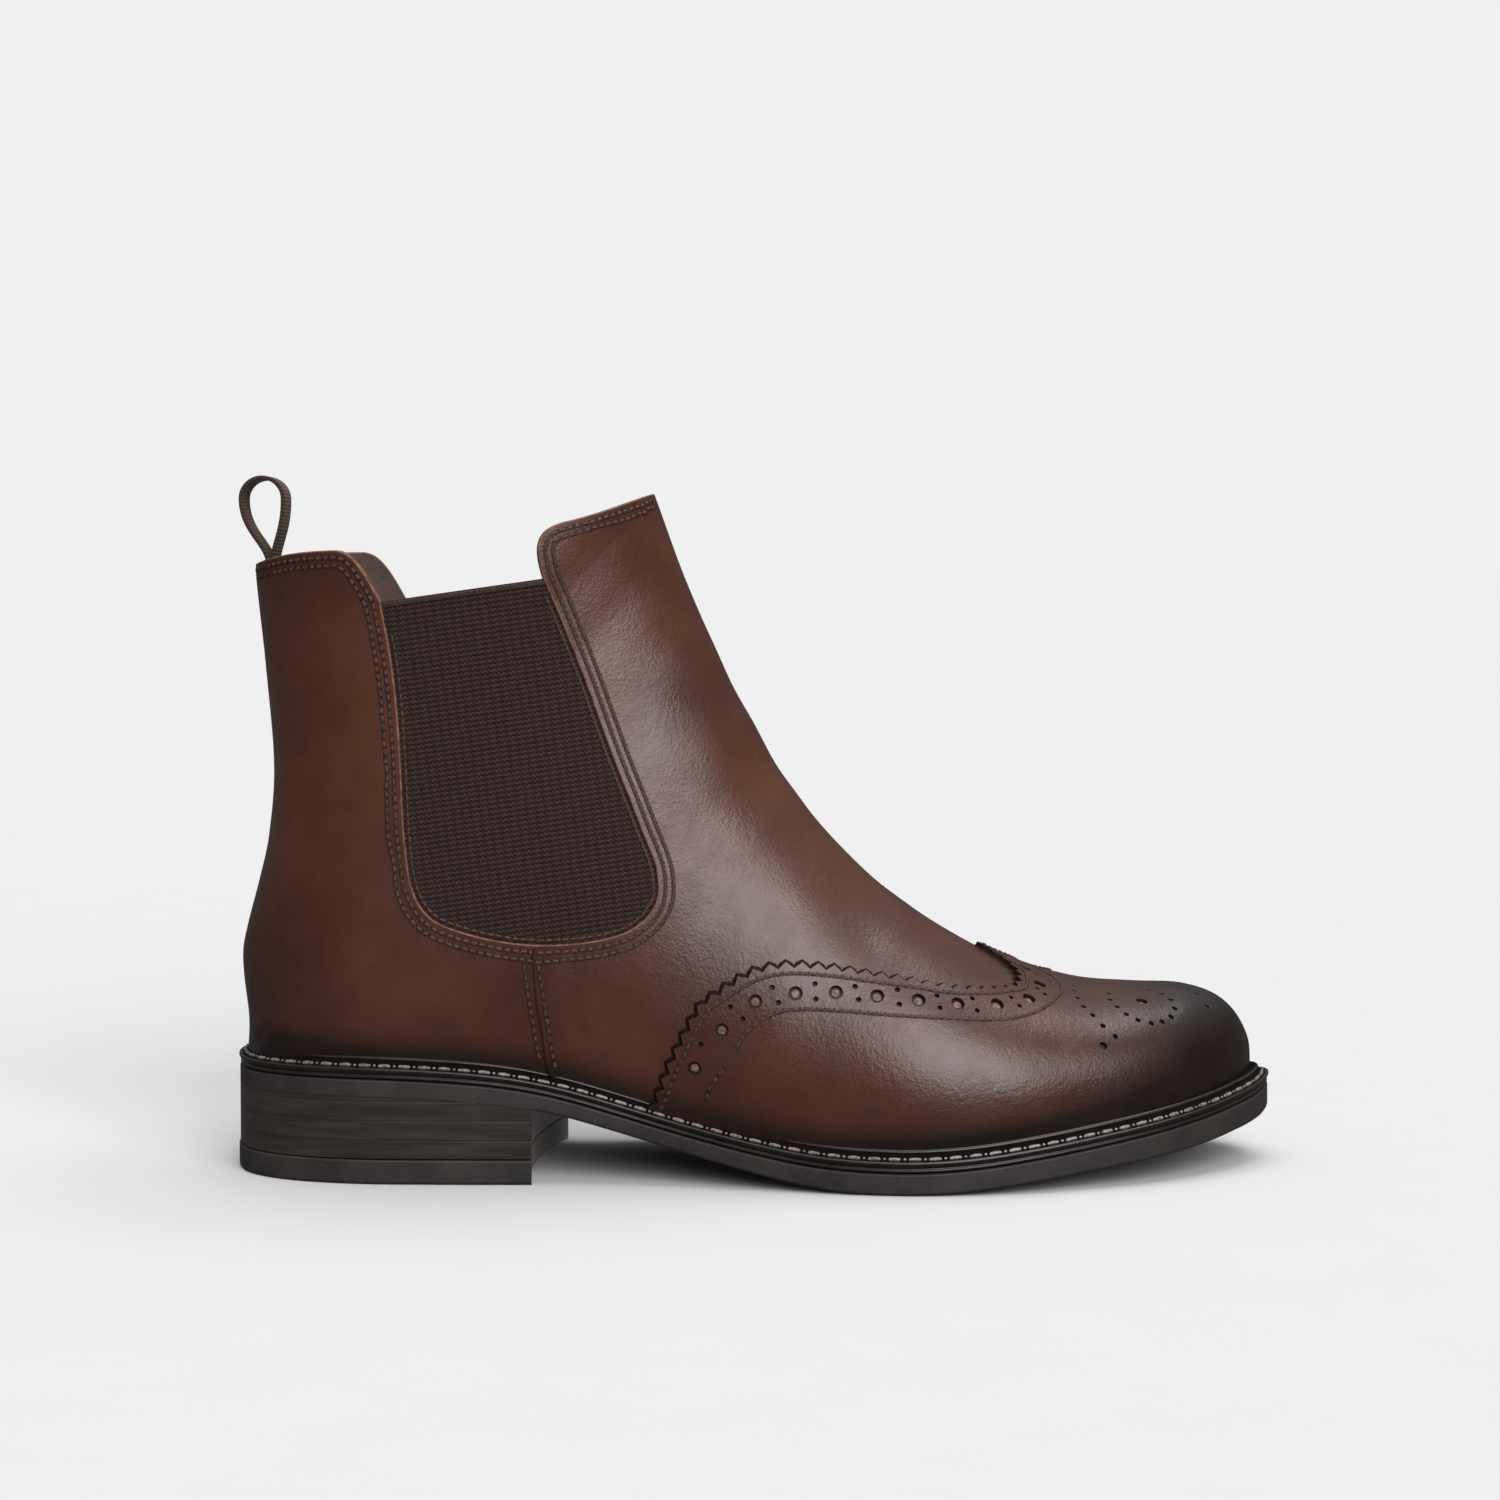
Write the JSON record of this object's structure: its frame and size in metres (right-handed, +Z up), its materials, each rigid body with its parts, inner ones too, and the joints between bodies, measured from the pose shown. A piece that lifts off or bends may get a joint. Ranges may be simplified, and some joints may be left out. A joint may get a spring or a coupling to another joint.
{
  "type": "brogue ankle boot",
  "caption": "Right ankle boot in burnished leather with elastic side gores, a pinked wing cap, a welted sole, a low stacked heel and a pull loop.",
  "frame": {"origin": "on the floor under the middle of the boot's length and width", "axes": "+X along the boot to the toe, +Y to its inner side, +Z up"},
  "size_m": [0.2636, 0.0886, 0.1735],
  "materials": {
    "upper_leather": "burnished smooth calf with a soft wax gloss",
    "cap_leather": "burnished smooth calf, darker at the toe",
    "elastic": "matte ribbed elastic webbing",
    "ribbon": "matte woven ribbon",
    "insole_leather": "matte natural lining leather",
    "welt_rubber": "semi-gloss moulded rubber",
    "outsole_rubber": "matte moulded rubber",
    "heel_board": "stacked leather board, stained and waxed",
    "toplift_rubber": "matte rubber"
  },
  "bodies": {
    "root": {"upper": "upper_leather", "wing_cap": "cap_leather", "gore_lateral": "elastic", "gore_medial": "elastic", "pull_loop": "ribbon", "insole": "insole_leather", "welt": "welt_rubber", "outsole": "outsole_rubber", "heel_stack": "heel_board", "heel_toplift": "toplift_rubber"}
  },
  "joints": []
}
